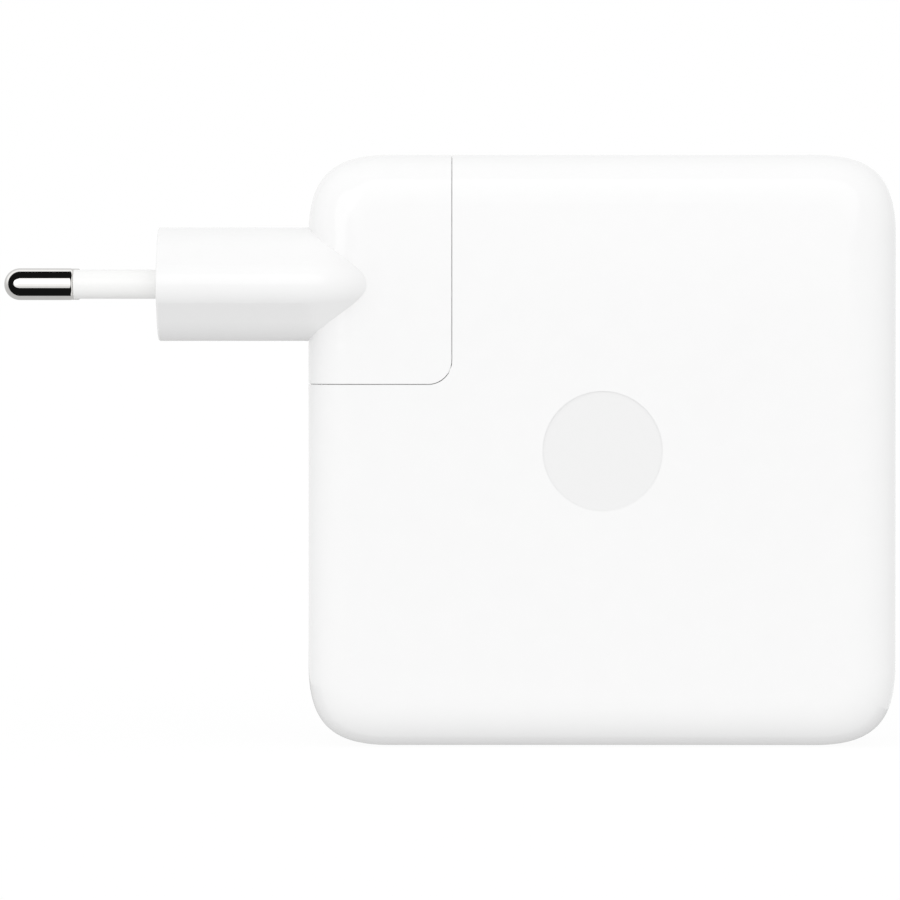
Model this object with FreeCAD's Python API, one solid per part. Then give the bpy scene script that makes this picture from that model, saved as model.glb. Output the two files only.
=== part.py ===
import FreeCAD, Part
import math
import os
from FreeCAD import Vector

# A laptop power adapter: a rounded square case with a USB-C socket in one side, and a
# mains plug head that slides up out of a bay in the case's top corner.
# Millimetres. X runs to the right across the broad face, Y to the rear, Z up. The origin
# is the middle of the narrow face that the adapter stands on.

# Case
body_width = 74.0
body_height = 74.4
body_depth = 28.5
corner_reach = 10.2        # length of each side that a rounded corner takes up
corner_pull = 0.72         # share of that length in the corner curve's handles
edge_reach = 6.2           # rounding from the broad faces to the narrow sides
edge_power = 2.4           # over 2, so that it starts more gently than a round arc
edge_steps = 8
shell_wall = 2.0
part_line = 0.08           # fine open line between the two half shells
tongue_width = 0.8
tongue_height = 1.0
tongue_play = 0.05
badge_radius = 7.5         # plain round panel in the middle of the front
badge_depth = 0.12

# Bay in the top left corner, and the plug head that fills it
bay_width = 18.15
bay_height = 28.9
bay_corner_radius = 3.0
seam = 0.12                # line that shows between the plug head and the bay
seam_depth = 0.22          # below this depth the head fits its bay closely
head_play = 0.05
corner_ease = 0.06         # the head's close-fitting corner is this much rounder than the bay's
plug_wall = 2.0
cover_wall = 1.6
cover_play = 0.08

# Mains plug: two round pins out of a six-sided block
block_height = 14.35
block_width = 35.3
block_length = 18.9        # how far the block stands out of the case's side
block_slant = 48.0         # tilt of the slanting sides, in degrees from upright
block_tip_radius = 3.2     # the block's narrow edges
block_corner_radius = 9.0  # where the slanting sides bend into the top and bottom
block_face_edge = 0.3
block_axis_drop = 16.3     # from the top of the case to the pins' plane
blend_length = 7.4         # how far the block runs over the case's face before it dies out
blend_start = 0.5          # where the run-out starts, outside the case's side
blend_tip_radius = 2.0
blend_power = 2.5          # the slanting sides bend in gently at first
blend_steps = 6
pin_radius = 2.0
pin_length = 19.4
pin_spacing = 18.6         # at the block's face
pin_tip_spacing = 17.5     # the pins lean together
pin_neck_radius = 1.5
pin_shoulder = 0.4         # round edge where the bare metal ends at the sleeve
pin_inner_length = 10.0    # behind the block's face
sleeve_length = 10.65
sleeve_radius = 1.835
sleeve_edge = 0.15
sleeve_play = 0.01         # around a sleeve in the block
fit_play = 0.03            # other round parts set firmly in their holes
carrier_play = 0.1

# Two-pole inlet between the plug head and the case
inlet_radius = 4.2         # each lobe of the figure-eight recess
inlet_lobe_spacing = 6.1
inlet_depth = 10.0
inlet_floor = 2.0
inlet_wall = 1.3
inlet_left_play = 0.35     # from the inlet block to the case's inner side wall
inlet_pin_radius = 1.2
inlet_pin_spacing = 8.6
inlet_pin_drop = 2.0       # pin ends below the mouth of the recess
inlet_pin_tail = 3.3
inlet_flange = 1.5
inlet_flange_rim = 1.0
nose_play = 0.2            # around the nose in its recess
nose_end_play = 0.5
nose_flange = 1.5
nose_rim = 0.9
tube_play = 0.1            # around an inlet pin in its contact tube
tube_wall = 0.4
tube_end_cover = 0.4       # plastic past the open end of each tube
tube_rise = 1.2            # tube above the nose's flange
strip_thickness = 0.6
strip_width = 3.4

# Stud that the plug head locks on
stud_rise = 14.0           # above the floor of the bay
stud_neck_radius = 2.5
stud_head_radius = 4.0
stud_head_thickness = 1.4
stud_play = 0.12
stud_thread_length = 2.2
stud_nut_radius = 4.2
channel_wall = 0.8

# Main circuit board and what holds it
board_thickness = 1.6
board_gap = 1.5            # from the board's edge to the case's inner walls
board_standoff = 3.25      # behind the board
board_inlet_gap = 1.8
post_radius = 1.6
post_inset = 3.2           # from the board's edges to the post centres
post_play = 0.1
spreader_thickness = 0.8
spreader_gap = 0.2         # to the shell
spreader_post_gap = 0.3    # to the board's posts
film_thickness = 0.4

# USB-C socket in the right side
usb_height = 37.15
usb_width = 8.94
usb_thickness = 3.26
usb_sheet = 0.35
usb_length = 7.3
usb_setback = 0.6
usb_play = 0.1
usb_back = 1.2
usb_tongue_width = 6.69
usb_tongue_thickness = 0.7
usb_tongue_length = 4.7
usb_contact_pitch = 0.5
usb_contact_width = 0.25
usb_contact_thickness = 0.08
usb_contact_length = 3.6
usb_contact_count = 12
usb_board_thickness = 0.8
usb_board_reach = 17.0
usb_board_width = 13.0
usb_board_end_gap = 0.5
usb_header_width = 2.6
usb_header_length = 11.0
usb_header_setback = 2.0

# Parts on the board. Widths run along X, lengths along Z, and heights stand off the board.
part_gap = 0.8             # between neighbours
lift = 0.25                # under round parts that lie on the board
fuse_radius = 4.1
fuse_height = 7.5
thermistor_radius = 3.7
thermistor_thickness = 3.6
varistor_radius = 5.0
varistor_thickness = 4.2
x_capacitor_width = 6.5
x_capacitor_length = 12.0
x_capacitor_height = 11.5
choke_radius = 5.5
choke_bore_radius = 3.2
choke_height = 6.0
choke_wire = 1.2
choke_arc = 130.0          # degrees of the ring under each coil
bridge_width = 12.0
bridge_length = 3.6
bridge_height = 10.0
bulk_radius = 5.0
bulk_length = 20.0
core_width = 22.0
core_length = 21.0
core_plate = 3.5
core_leg_radius = 4.0
core_side = 2.6
bobbin_play = 0.15
bobbin_wall = 0.8
bobbin_flange_radius = 8.1
winding_inset = 0.5
heatsink_width = 19.0
heatsink_thickness = 1.5
heatsink_height = 14.0
transistor_width = 9.6
transistor_length = 3.8
transistor_height = 9.0
inductor_radius = 3.2
inductor_height = 5.0
output_radius = 3.4
output_height = 11.5
y_capacitor_radius = 3.2
y_capacitor_thickness = 3.4
coupler_width = 6.5
coupler_length = 4.4
coupler_height = 3.4
front_pad_thickness = 1.75
pad_border = 1.5
lead_radius = 0.9
lead_bend = 1.5
lead_drop = 1.0            # straight run below the rear inlet pin
lead_step = 2.6            # the front lead's bend lies this much lower

# Parts on the rear of the board. Each place is a share of the board's width and height.
chip_width = 6.0
chip_length = 5.0
chip_height = 1.1
chip_places = ((0.2, 0.33), (0.5, 0.42), (0.45, 0.7))
rectifier_width = 5.2
rectifier_length = 6.0
rectifier_height = 1.0
rectifier_place = (0.72, 0.55)
trim_width = 1.6
trim_length = 0.8
trim_height = 0.6
trim_column_pitch = 3.2
trim_row_pitch = 2.4
trim_columns = 5
trim_rows = 4
trim_places = ((0.25, 0.15), (0.72, 0.2), (0.68, 0.82))

# Places that follow from the sizes above
left = -body_width / 2
right = body_width / 2
half_depth = body_depth / 2
bay_floor = body_height - bay_height
bay_side = left + bay_width
inner_depth = half_depth - shell_wall
axis_height = body_height - block_axis_drop
block_face = left - block_length
slant = math.radians(block_slant)
sharp_lead = 1 / math.cos(slant) - 1     # how far a sharp edge would stand out, per radius of its rounding
block_sharp = block_width / 2 + block_tip_radius * sharp_lead
blend_sharp = half_depth + blend_tip_radius * sharp_lead
pin_lean = math.degrees(math.asin((pin_spacing - pin_tip_spacing) / 2 / pin_length))
inlet_half_width = inlet_radius + inlet_wall
inlet_x = left + shell_wall + inlet_left_play + inlet_half_width
inlet_bottom = bay_floor - inlet_depth - inlet_floor
nose_radius = inlet_radius - nose_play
nose_end = bay_floor - inlet_depth + nose_end_play
plug_side = bay_side - head_play
plug_floor = bay_floor + head_play
cover_side = plug_side - cover_wall
cover_floor = plug_floor + cover_wall
tube_radius = inlet_pin_radius + tube_play
tube_top = cover_floor + nose_flange + tube_rise
stud_height = bay_floor + stud_rise
stud_neck_end = cover_side - stud_play
stud_head_end = stud_neck_end - stud_head_thickness
channel_end = stud_head_end - stud_play
board_back = inner_depth - board_standoff
board_front = board_back - board_thickness
board_inset = shell_wall + board_gap
board_left = left + board_inset
board_right = right - board_inset
board_bottom = board_inset
board_top = body_height - board_inset
spreader_inset = board_inset + post_inset + post_radius + spreader_post_gap
film_front = -(inner_depth - spreader_gap - spreader_thickness - film_thickness)
film_back = -film_front
core_front = film_front + front_pad_thickness
usb_mouth = right - usb_setback
usb_rear = usb_mouth - usb_length
usb_board_front = usb_thickness / 2
usb_board_back = usb_board_front + usb_board_thickness
usb_board_end = right - shell_wall - usb_board_end_gap


def box(x_range, y_range, z_range):
    """A block between two values along each axis."""
    size = [high - low for low, high in (x_range, y_range, z_range)]
    return Part.makeBox(*size, Vector(x_range[0], y_range[0], z_range[0]))


def rod(radius, start, end):
    """A round bar from one point to another."""
    return Part.makeCylinder(radius, (end - start).Length, start, end - start)


def one_solid(shape):
    """The single solid that a cut or a fusion leaves, with its split faces joined."""
    return shape.removeSplitter().Solids[0]


# The case's outline and the bay

def outline(inset):
    """The front outline as a flat face at y = 0, drawn in all round by an inset."""
    reach = corner_reach - inset
    handle = reach * (1 - corner_pull)
    low, high, side = inset, body_height - inset, right - inset
    corners = [
        (Vector(side, 0, high), Vector(-1, 0, 0), Vector(0, 0, -1)),
        (Vector(side, 0, low), Vector(0, 0, 1), Vector(-1, 0, 0)),
        (Vector(-side, 0, low), Vector(1, 0, 0), Vector(0, 0, 1)),
        (Vector(-side, 0, high), Vector(0, 0, -1), Vector(1, 0, 0)),
    ]
    curves = []
    for point, back, onward in corners:
        curve = Part.BezierCurve()
        curve.setPoles([point + back * reach, point + back * handle,
                        point + onward * handle, point + onward * reach])
        curves.append(curve)
    edges = []
    for index, curve in enumerate(curves):
        following = curves[(index + 1) % len(curves)]
        edges.append(curve.toShape())
        edges.append(Part.makeLine(curve.EndPoint, following.StartPoint))
    return Part.Face(Part.Wire(edges))


def pillow(inset):
    """The whole rounded case as a solid, drawn in by an inset.

    Each rim is a skin over copies of the outline that shrink towards the broad face."""
    reach = edge_reach - inset
    flat = half_depth - edge_reach
    wires = []
    for step in range(edge_steps + 1):
        turn = math.radians(90 * step / edge_steps)
        inward = reach * (1 - math.cos(turn) ** (2 / edge_power))
        forward = reach * math.sin(turn) ** (2 / edge_power)
        wire = outline(inset + inward).OuterWire
        wire.translate(Vector(0, -flat - forward, 0))
        wires.append(wire)
    front_rim = Part.makeLoft(wires, True, False)
    middle = outline(inset)
    middle.translate(Vector(0, -flat, 0))
    middle = middle.extrude(Vector(0, 2 * flat, 0))
    return one_solid(middle.fuse([front_rim, front_rim.mirror(Vector(0, 0, 0), Vector(0, 1, 0))]))


def bay_block(grow, ease=0.0):
    """The corner that holds the plug head, its side and floor moved out by grow.

    ease is how much rounder its lower corner is than that alone would make it."""
    side, floor = bay_side + grow, bay_floor - grow
    block = box((2 * left, side), (-body_depth, body_depth), (floor, 2 * body_height))
    corner = [edge for edge in block.Edges if edge.CenterOfMass.isEqual(Vector(side, 0, floor), 1e-6)]
    return block.makeFillet(max(bay_corner_radius + grow + ease, 0.2), corner)


def bayed_slab(inset, front, back):
    """The outline without the bay, drawn in by an inset, from one depth to another."""
    face = outline(inset)
    face.translate(Vector(0, front, 0))
    return face.extrude(Vector(0, back - front, 0)).cut(bay_block(inset))


def tongue_ring(play, end):
    """The tongue that runs round the middle of the walls, or the groove for it."""
    outer = (shell_wall - tongue_width) / 2 - play
    start = -part_line / 2
    ring = bayed_slab(outer, start, end)
    return ring.cut(bayed_slab(shell_wall - outer, start - 1, end + 1))


# The case's openings

def lobes(radius, bottom, top):
    """Two overlapping upright cylinders: the figure-eight section of the inlet."""
    half = inlet_lobe_spacing / 2
    pair = [rod(radius, Vector(inlet_x, y, bottom), Vector(inlet_x, y, top)) for y in (-half, half)]
    return pair[0].fuse(pair[1])


def inlet_body(play, bottom, top):
    """The outside of the inlet block, a round-ended upright prism."""
    radius = inlet_half_width + play
    half = inlet_lobe_spacing / 2
    ends = [rod(radius, Vector(inlet_x, y, bottom), Vector(inlet_x, y, top)) for y in (-half, half)]
    middle = box((inlet_x - radius, inlet_x + radius), (-half, half), (bottom, top))
    return ends[0].fuse([ends[1], middle])


def stadium(width, thickness, start, end):
    """A bar along X with round edges, wide along Z, at the socket's height."""
    radius = thickness / 2
    half = width / 2 - radius
    centres = [usb_height - half, usb_height + half]
    ends = [rod(radius, Vector(start, 0, z), Vector(end, 0, z)) for z in centres]
    middle = box((start, end), (-radius, radius), centres)
    return ends[0].fuse([ends[1], middle])


def case_openings():
    """What passes through the case's walls: inlet, stud and USB-C socket."""
    inlet = inlet_body(fit_play, bay_floor - 2 * shell_wall, bay_floor + 1)
    stud = rod(stud_neck_radius + fit_play, Vector(bay_side - 1, 0, stud_height),
               Vector(bay_side + shell_wall + 1, 0, stud_height))
    socket = stadium(usb_width + 2 * usb_play, usb_thickness + 2 * usb_play,
                     right - 2 * shell_wall, right + 1)
    return [inlet, stud, socket]


def post_places():
    """Centres of the four posts that hold the board, as x and z."""
    bay_edge = bay_side + board_inset
    return [(board_left + post_inset, board_bottom + post_inset),
            (board_right - post_inset, board_bottom + post_inset),
            (board_right - post_inset, board_top - post_inset),
            (bay_edge + post_inset, board_top - post_inset)]


def posts(start, end):
    """The board's posts between two depths."""
    return [rod(post_radius, Vector(x, start, z), Vector(x, end, z)) for x, z in post_places()]


def case_wall():
    """Both half shells in one, hollow and with the bay taken out."""
    hollow = pillow(shell_wall).cut(bay_block(shell_wall))
    return pillow(0).cut(bay_block(0)).cut(hollow)


def front_shell(wall):
    keep = box((2 * left, 2 * right), (-body_depth, -part_line / 2), (-1, 2 * body_height))
    front_posts = posts(-inner_depth - shell_wall / 2, board_front - post_play)
    shell = wall.common(keep).fuse([tongue_ring(0, tongue_height)] + front_posts)
    badge = rod(badge_radius, Vector(0, -half_depth - 1, body_height / 2),
                Vector(0, -half_depth + badge_depth, body_height / 2))
    return one_solid(shell.cut(case_openings() + [badge]))


def rear_shell(wall):
    keep = box((2 * left, 2 * right), (part_line / 2, body_depth), (-1, 2 * body_height))
    shell = wall.common(keep).fuse(posts(board_back, inner_depth + shell_wall / 2))
    return one_solid(shell.cut(case_openings() + [tongue_ring(tongue_play, tongue_height)]))


# Inlet and stud

def inlet_block():
    flange_top = bay_floor - shell_wall
    flange = inlet_body(inlet_flange_rim, flange_top - inlet_flange, flange_top)
    clear_of_side = box((inlet_x - inlet_half_width, right), (-half_depth, half_depth), (0, flange_top))
    block = inlet_body(0, inlet_bottom, bay_floor).fuse(flange.common(clear_of_side))
    holes = [lobes(inlet_radius, bay_floor - inlet_depth, bay_floor + 1)]
    for y in inlet_pin_ys():
        holes.append(rod(inlet_pin_radius + fit_play, Vector(inlet_x, y, inlet_bottom - 1),
                         Vector(inlet_x, y, bay_floor)))
    return one_solid(block.cut(holes))


def inlet_pin_ys():
    """Places of the front and rear poles across the inlet."""
    return (-inlet_pin_spacing / 2, inlet_pin_spacing / 2)


def inlet_pin(y):
    top = bay_floor - inlet_pin_drop
    pin = rod(inlet_pin_radius, Vector(inlet_x, y, inlet_bottom - inlet_pin_tail), Vector(inlet_x, y, top))
    rim = [edge for edge in pin.Edges if abs(edge.CenterOfMass.z - top) < 1e-6]
    return pin.makeChamfer(inlet_pin_radius / 3, rim)


def supply_lead(y, drop):
    """A wire from an inlet pin's tail, down by drop and round one bend, to the board."""
    start = inlet_bottom - inlet_pin_tail
    corner = start - drop
    down = rod(lead_radius, Vector(inlet_x, y, start), Vector(inlet_x, y, corner))
    centre = Vector(inlet_x, y + lead_bend, corner)
    disc = Part.Face(Part.Wire(Part.makeCircle(lead_radius, Vector(inlet_x, y, corner), Vector(0, 0, 1))))
    bend = disc.revolve(centre, Vector(1, 0, 0), 90)
    across = rod(lead_radius, Vector(inlet_x, y + lead_bend, corner - lead_bend),
                 Vector(inlet_x, board_front, corner - lead_bend))
    return one_solid(down.fuse([bend, across]))


def lock_stud():
    neck = rod(stud_neck_radius, Vector(bay_side + shell_wall + stud_thread_length, 0, stud_height),
               Vector(stud_neck_end, 0, stud_height))
    head = rod(stud_head_radius, Vector(stud_neck_end, 0, stud_height),
               Vector(stud_head_end, 0, stud_height))
    rim = [edge for edge in head.Edges if abs(edge.CenterOfMass.x - stud_head_end) < 1e-6]
    return one_solid(neck.fuse(head.makeFillet(stud_head_thickness / 3, rim)))


def stud_nut():
    start = bay_side + shell_wall
    corners = [Vector(start, stud_nut_radius * math.cos(math.radians(angle)),
                      stud_height + stud_nut_radius * math.sin(math.radians(angle)))
               for angle in range(0, 420, 60)]
    nut = Part.Face(Part.makePolygon(corners)).extrude(Vector(stud_thread_length, 0, 0))
    bore = rod(stud_neck_radius + fit_play, Vector(start - 1, 0, stud_height),
               Vector(start + stud_thread_length + 1, 0, stud_height))
    return one_solid(nut.cut(bore))


# Plug head

def plug_section(x, sharp, inset, tip_radius):
    """The mains block's six-sided section at x, with its corners rounded.

    sharp is where the slanting sides would meet if the narrow edge weren't rounded."""
    tip = tip_radius - inset
    corner = block_corner_radius - inset
    half = block_height / 2 - block_corner_radius
    tip_y = sharp - tip_radius / math.cos(slant)
    corner_y = sharp - (block_corner_radius + half * math.sin(slant)) / math.cos(slant)
    rounds = [(tip_y, 0, tip, -slant, slant), (corner_y, half, corner, slant, math.pi / 2),
              (-corner_y, half, corner, math.pi / 2, math.pi - slant),
              (-tip_y, 0, tip, math.pi - slant, math.pi + slant),
              (-corner_y, -half, corner, math.pi + slant, 3 * math.pi / 2),
              (corner_y, -half, corner, -math.pi / 2, -slant)]
    arcs = []
    for y, z, radius, start, end in rounds:
        points = []
        for turn in (start, (start + end) / 2, end):
            points.append(Vector(x, y + radius * math.cos(turn), axis_height + z + radius * math.sin(turn)))
        arcs.append(points)
    edges = []
    for index, points in enumerate(arcs):
        edges.append(Part.Arc(*points).toShape())
        edges.append(Part.makeLine(points[2], arcs[(index + 1) % len(arcs)][0]))
    return Part.Wire(edges)


def block_prism(inset, start, end):
    """A length of the mains block, drawn in all round by an inset."""
    section = plug_section(start, block_sharp, inset, block_tip_radius)
    return Part.Face(section).extrude(Vector(end - start, 0, 0))


def mains_block():
    """The block outside the case and the arrow-shaped run-out over its face."""
    start = left - blend_start
    outer = block_prism(0, block_face, start)
    rim = [edge for edge in outer.Edges if abs(edge.CenterOfMass.x - block_face) < 1e-6]
    outer = outer.makeFillet(block_face_edge, rim)
    sections = []
    for step in range(blend_steps + 1):
        share = step / blend_steps
        drawn_in = share ** blend_power
        sections.append(plug_section(start + share * (blend_start + blend_length),
                                     block_sharp + drawn_in * (blend_sharp - block_sharp), 0,
                                     block_tip_radius + drawn_in * (blend_tip_radius - block_tip_radius)))
    return outer.fuse(Part.makeLoft(sections, True, False))


def pin_places():
    """The two pins' centres on the block's face, and the way each leans."""
    return {"front": (-pin_spacing / 2, -pin_lean), "rear": (pin_spacing / 2, pin_lean)}


def along_pin(shape, side):
    """Turns a piece made along -X from the origin onto one pin's axis."""
    y, lean = pin_places()[side]
    shape.rotate(Vector(0, 0, 0), Vector(0, 0, 1), lean)
    shape.translate(Vector(block_face, y, axis_height))
    return shape


def head_block(inset):
    """The part of the corner that the plug head fills closely, drawn in by an inset."""
    return bay_block(-head_play - inset, corner_ease)


def plug_housing():
    skin = pillow(0).common(bay_block(-seam))
    shell = skin.fuse([pillow(seam_depth).common(head_block(0)), mains_block()])
    cavity = pillow(plug_wall).common(bay_block(0))
    block_cavity = block_prism(plug_wall, block_face + plug_wall, left - blend_start)
    inner = half_depth - 2 * plug_wall
    reach = block_height / 2 - plug_wall
    passage = box((left - 2 * blend_start, left + 2 * plug_wall), (-inner, inner),
                  (axis_height - reach, axis_height + reach))
    holes = [along_pin(rod(sleeve_radius + sleeve_play, Vector(2 * plug_wall, 0, 0), Vector(-1, 0, 0)), side)
             for side in pin_places()]
    return one_solid(shell.cut([cavity, block_cavity, passage] + holes))


def pin_carrier():
    """The insulating core inside the mains block that grips both pins."""
    start = block_face + plug_wall + carrier_play
    core = block_prism(plug_wall + carrier_play, start, block_face + pin_inner_length - carrier_play)
    holes = [along_pin(rod(pin_neck_radius + fit_play, Vector(block_length, 0, 0), Vector(-1, 0, 0)), side)
             for side in pin_places()]
    return one_solid(core.cut(holes))


def mains_pin(side):
    sleeve_end = Vector(-sleeve_length, 0, 0)
    tip_centre = Vector(-(pin_length - pin_radius), 0, 0)
    bar = rod(pin_radius, sleeve_end, tip_centre)
    rim = [edge for edge in bar.Edges if abs(edge.CenterOfMass.x + sleeve_length) < 1e-6]
    bar = bar.makeFillet(pin_shoulder, rim)
    tip = Part.makeSphere(pin_radius, tip_centre)
    neck = rod(pin_neck_radius, Vector(pin_inner_length, 0, 0), sleeve_end)
    return along_pin(one_solid(bar.fuse([tip, neck])), side)


def pin_sleeve(side):
    start, end = Vector(plug_wall, 0, 0), Vector(-sleeve_length, 0, 0)
    tube = rod(sleeve_radius, start, end)
    rim = [edge for edge in tube.Edges if abs(edge.CenterOfMass.x + sleeve_length) < 1e-6]
    tube = tube.makeFillet(sleeve_edge, rim).cut(rod(pin_neck_radius + fit_play, start * 2, end * 2))
    return along_pin(one_solid(tube), side)


def plug_cover():
    """The inner side and floor of the plug head, with the channel that takes the stud."""
    lining = head_block(0).cut(head_block(cover_wall))
    cover = pillow(plug_wall + cover_play).common(lining)
    half = stud_head_radius + stud_play
    top = stud_height + half + channel_wall
    channel = box((channel_end - channel_wall, cover_side), (-half - channel_wall, half + channel_wall),
                  (plug_floor + cover_wall / 2, top))
    cuts = [lobes(nose_radius + fit_play, bay_floor, cover_floor + 1)]
    for radius, start, end in ((stud_neck_radius, cover_side - 1, plug_side + 1),
                               (stud_head_radius, channel_end, cover_side)):
        cuts += stud_slot(radius + stud_play, start, end)
    return one_solid(cover.fuse(channel).cut(cuts))


def stud_slot(radius, start, end):
    """A round-ended slot from the floor of the plug head up to the stud."""
    slot = box((start, end), (-radius, radius), (plug_floor - 1, stud_height))
    return [slot, rod(radius, Vector(start, 0, stud_height), Vector(end, 0, stud_height))]


def nose_insert():
    """The figure-eight nose that goes into the inlet, with a flange inside the head."""
    nose = lobes(nose_radius, nose_end, cover_floor + nose_flange)
    flange = lobes(nose_radius + nose_rim, cover_floor, cover_floor + nose_flange)
    clear_of_channel = box((left, inlet_x + nose_radius), (-half_depth, half_depth), (0, body_height))
    nose = nose.fuse(flange.common(clear_of_channel))
    bores = []
    for y in inlet_pin_ys():
        bores.append(rod(tube_radius + tube_wall + fit_play, Vector(inlet_x, y, nose_end + tube_end_cover),
                         Vector(inlet_x, y, tube_top)))
        bores.append(rod(tube_radius, Vector(inlet_x, y, nose_end - 1), Vector(inlet_x, y, tube_top)))
    return one_solid(nose.cut(bores))


def contact_tube(y):
    bottom = nose_end + tube_end_cover
    tube = rod(tube_radius + tube_wall, Vector(inlet_x, y, bottom), Vector(inlet_x, y, tube_top))
    bore = rod(tube_radius, Vector(inlet_x, y, bottom - 1), Vector(inlet_x, y, tube_top - 2 * tube_wall))
    return one_solid(tube.cut(bore))


def contact_strip(side, tube_y):
    """Flat metal from a mains pin's inner end to the top of its contact tube."""
    sign = math.copysign(1, tube_y)
    lean = math.radians(pin_lean)
    end_x = block_face + pin_inner_length * math.cos(lean)
    end_y = sign * (pin_spacing / 2 + pin_inner_length * math.sin(lean))
    half, edge = strip_width / 2, strip_thickness / 2
    start_x = end_x + pin_neck_radius * math.sin(lean)
    levels = (axis_height - half, axis_height + half)
    across = sorted([tube_y - sign * edge, end_y])
    plate = box((start_x, start_x + strip_thickness), across, levels)
    run = box((start_x, inlet_x + half), (tube_y - edge, tube_y + edge), levels)
    drop = box((inlet_x - half, inlet_x + half), (tube_y - edge, tube_y + edge), (tube_top, axis_height))
    return one_solid(plate.fuse([run, drop]))


# Circuit board, films and heat spreaders

def board_slab(inset, front, back):
    """A flat sheet with the case's outline, clear of the bay and of the inlet."""
    sheet = bayed_slab(inset, front, back)
    edge = inlet_x + inlet_half_width + inlet_flange_rim + board_inlet_gap
    notch = box((2 * left, edge), (front - 1, back + 1), (inlet_bottom - board_inlet_gap, body_height))
    return one_solid(sheet.cut(notch))


def front_places():
    """Centres of the parts on the front of the board, as x and z.

    The mains side packs from the left edge, the large capacitors and the outputs from the
    right one, and the transformer stands beside the bay's stud."""
    base = board_bottom + part_gap
    top = board_top - part_gap
    spot = {}
    spot["fuse"] = (board_left + post_inset + post_radius + part_gap + fuse_radius, base + fuse_radius)
    fuse_x, fuse_z = spot["fuse"]
    spot["varistor"] = (fuse_x, fuse_z + fuse_radius + part_gap + varistor_radius)
    spot["thermistor"] = (fuse_x + fuse_radius + part_gap + thermistor_thickness / 2,
                          base + thermistor_radius)
    block_x = fuse_x + varistor_thickness / 2 + part_gap + x_capacitor_width / 2
    block_base = base + 2 * thermistor_radius + part_gap
    spot["x_capacitor"] = (block_x, block_base + x_capacitor_length / 2)
    coil_radius = choke_radius + choke_wire
    choke_x = block_x + x_capacitor_width / 2 + part_gap + coil_radius
    spot["choke"] = (choke_x, base + coil_radius)
    bridge_base = base + 2 * coil_radius + part_gap
    spot["bridge"] = (choke_x, bridge_base + bridge_length / 2)
    inductor_z = bridge_base + bridge_length + part_gap + inductor_radius
    bulk_x = board_right - post_inset - post_radius - part_gap - bulk_length / 2
    for index in range(2):
        spot[f"bulk_{index}"] = (bulk_x, base + bulk_radius + index * (2 * bulk_radius + part_gap))
    core_x = bay_side + shell_wall + stud_thread_length + part_gap + core_width / 2
    core_top = top - coupler_length - part_gap
    spot["transformer"] = (core_x, core_top - core_length / 2)
    spot["inductor"] = (core_x, inductor_z)
    spot["heatsink"] = (core_x, core_top - core_length - part_gap - heatsink_thickness / 2)
    spot["transistor"] = (core_x, spot["heatsink"][1] - (heatsink_thickness + transistor_length) / 2)
    disc_x = post_places()[3][0] + post_radius + part_gap + y_capacitor_radius
    spot["y_capacitor"] = (disc_x, top - y_capacitor_thickness / 2)
    spot["coupler"] = (disc_x + y_capacitor_radius + part_gap + coupler_width / 2, top - coupler_length / 2)
    pitch = 2 * output_radius + part_gap / 2
    outer_x = board_right - part_gap - output_radius
    upper_z = board_top - post_inset - post_radius - part_gap / 2 - output_radius
    for index in range(4):
        spot[f"output_{index}"] = (outer_x - index % 2 * pitch, upper_z - index // 2 * pitch)
    return spot


def standing_block(centre, width, length, height):
    """A box on the front of the board."""
    x, z = centre
    return box((x - width / 2, x + width / 2), (board_front - height, board_front),
               (z - length / 2, z + length / 2))


def standing_can(centre, radius, height):
    """A round part that stands on the front of the board."""
    x, z = centre
    return rod(radius, Vector(x, board_front, z), Vector(x, board_front - height, z))


def lying_can(centre, radius, length, direction):
    """A round part that lies just off the front of the board, along a direction."""
    x, z = centre
    middle = Vector(x, board_front - lift - radius, z)
    half = direction * (length / 2)
    return rod(radius, middle - half, middle + half)


def choke_depths():
    """Front and back of the choke's ring, clear of the board by the wire round it."""
    back = board_front - choke_wire - lift
    return back - choke_height, back


def choke_core(centre):
    x, z = centre
    front, back = choke_depths()
    ring = rod(choke_radius, Vector(x, front, z), Vector(x, back, z))
    return one_solid(ring.cut(rod(choke_bore_radius, Vector(x, front - 1, z), Vector(x, back + 1, z))))


def choke_windings(centre):
    """Two coils, each wrapped round its own side of the ring core."""
    coils = []
    for start in (-choke_arc / 2, 180 - choke_arc / 2):
        outer = choke_sector(centre, choke_wire, start)
        coils.append(one_solid(outer.cut(choke_sector(centre, 2 * fit_play, start))))
    return Part.Compound(coils)


def choke_sector(centre, grow, start):
    """Part of the choke's ring from the angle given, grown all round its section."""
    x, z = centre
    front, back = choke_depths()
    near, far = x + choke_bore_radius - grow, x + choke_radius + grow
    low, high = front - grow, back + grow
    corners = [Vector(near, low, z), Vector(far, low, z), Vector(far, high, z), Vector(near, high, z)]
    section = Part.Face(Part.makePolygon(corners + corners[:1]))
    section.rotate(Vector(x, 0, z), Vector(0, 1, 0), start)
    return section.revolve(Vector(x, 0, z), Vector(0, 1, 0), choke_arc)


def core_half(centre, back, front):
    """Half of the transformer's core: a plate with a round leg and two side walls."""
    x, z = centre
    plate_end = back + math.copysign(core_plate, front - back)
    side_x = core_width / 2 - core_side
    lengths = (z - core_length / 2, z + core_length / 2)
    legs = [rod(core_leg_radius, Vector(x, back, z), Vector(x, front, z)),
            box((x - core_width / 2, x - side_x), sorted([back, front]), lengths),
            box((x + side_x, x + core_width / 2), sorted([back, front]), lengths)]
    plate = box((x - core_width / 2, x + core_width / 2), sorted([back, plate_end]), lengths)
    return one_solid(plate.fuse(legs))


def leg_ring(centre, inner, outer, front, back):
    """A ring about the transformer's middle leg."""
    x, z = centre
    ring = rod(outer, Vector(x, front, z), Vector(x, back, z))
    return ring.cut(rod(inner, Vector(x, front - 1, z), Vector(x, back + 1, z)))


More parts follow.
